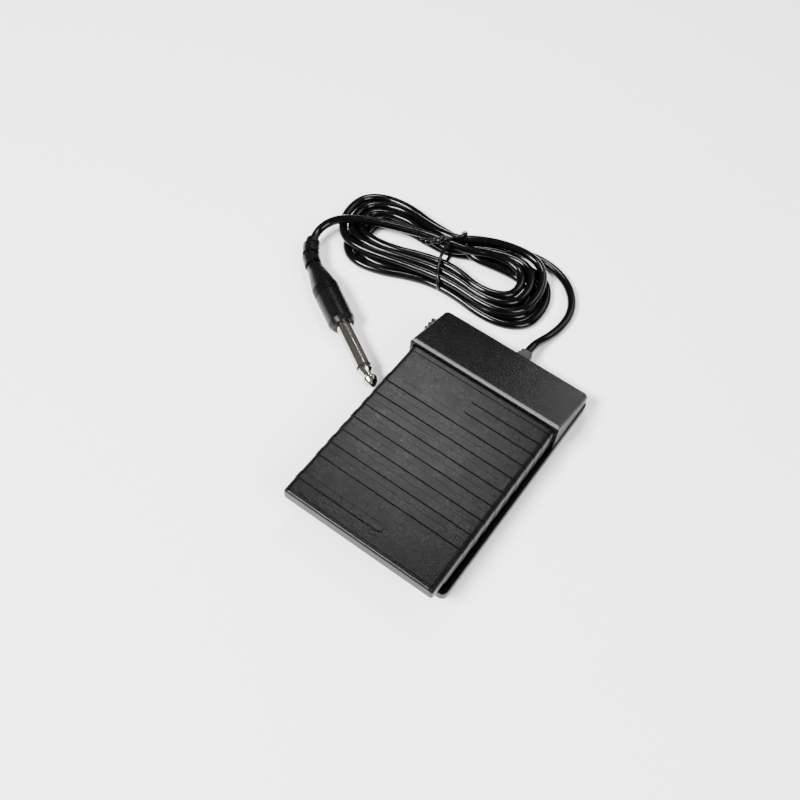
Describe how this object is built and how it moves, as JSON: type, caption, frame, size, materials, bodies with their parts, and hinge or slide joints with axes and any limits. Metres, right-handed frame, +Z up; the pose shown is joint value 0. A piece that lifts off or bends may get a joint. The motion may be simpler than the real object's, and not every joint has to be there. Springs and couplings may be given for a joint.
{
  "type": "sustain pedal",
  "caption": "Compact moulded foot switch with a ribbed sprung treadle, a polarity slide switch and a thin tied lead that ends in a mono jack plug.",
  "frame": {"origin": "centre of the anti-slip mat's underside, on the surface that the pedal stands on", "axes": "+X to the right seen by the player, +Y to the back where the lead leaves, +Z up; the treadle's hinge runs along X"},
  "size_m": [0.136, 0.1578, 0.0183],
  "materials": {
    "black_plastic": "fine-grained moulded black",
    "grained_plastic": "coarse spark-grained moulded black",
    "rubber": "matte black",
    "steel": "zinc plated",
    "board": "solder mask over laminate",
    "switch_plastic": "matte moulded",
    "plunger_plastic": "matte moulded",
    "plated_pins": "tinned",
    "wire_sleeve": "thin gloss sleeve",
    "cord_jacket": "glossy soft vinyl",
    "tie_plastic": "thin vinyl over wire",
    "plug_plastic": "satin moulded vinyl",
    "jack_metal": "polished nickel plate",
    "insulator_plastic": "smooth black"
  },
  "bodies": {
    "base": {"base_tray": "black_plastic", "anti_slip_mat": "rubber", "rear_housing": "grained_plastic", "housing_screws": "steel", "hinge_pin": "steel", "hinge_clips": "steel", "return_spring": "steel", "press_stop_pads": "rubber", "rest_stop_pad": "rubber", "circuit_board": "board", "board_screws": "steel", "microswitch_body": "switch_plastic", "microswitch_terminals": "plated_pins", "polarity_switch_body": "steel", "lead_wires": "wire_sleeve", "cord_inner_end": "cord_jacket", "cord_clamp": "black_plastic", "clamp_screws": "steel", "cable_gland": "rubber", "cord_lead": "cord_jacket", "cord_hank": "cord_jacket", "cord_plug_lead": "cord_jacket", "twist_tie": "tie_plastic", "plug_boot": "plug_plastic", "plug_handle": "plug_plastic", "jack_sleeve": "jack_metal", "jack_insulator": "insulator_plastic", "jack_tip": "jack_metal"},
    "treadle": {"treadle": "black_plastic"},
    "plunger": {"microswitch_plunger": "plunger_plastic"},
    "slider": {"polarity_slider": "black_plastic"}
  },
  "joints": [
    {"name": "treadle_hinge", "type": "hinge", "parent": "base", "child": "treadle", "pos_m": [0, 0.03, 0.009], "axis": [1, 0, 0], "range_deg": [0, 4.5], "stiffness_Nm_per_rad": 4, "springref_deg": -3.44, "deforming": ["return_spring"]},
    {"name": "plunger_slide", "type": "slide", "parent": "base", "child": "plunger", "axis": [0, 0, -1], "range_m": [0, 0.0009]},
    {"name": "polarity_slide", "type": "slide", "parent": "base", "child": "slider", "axis": [0, -1, 0], "range_m": [0, 0.0025]}
  ],
  "couplings": [
    {"joint": "plunger_slide", "follows": "treadle_hinge", "m_per_rad": 0.011}
  ]
}
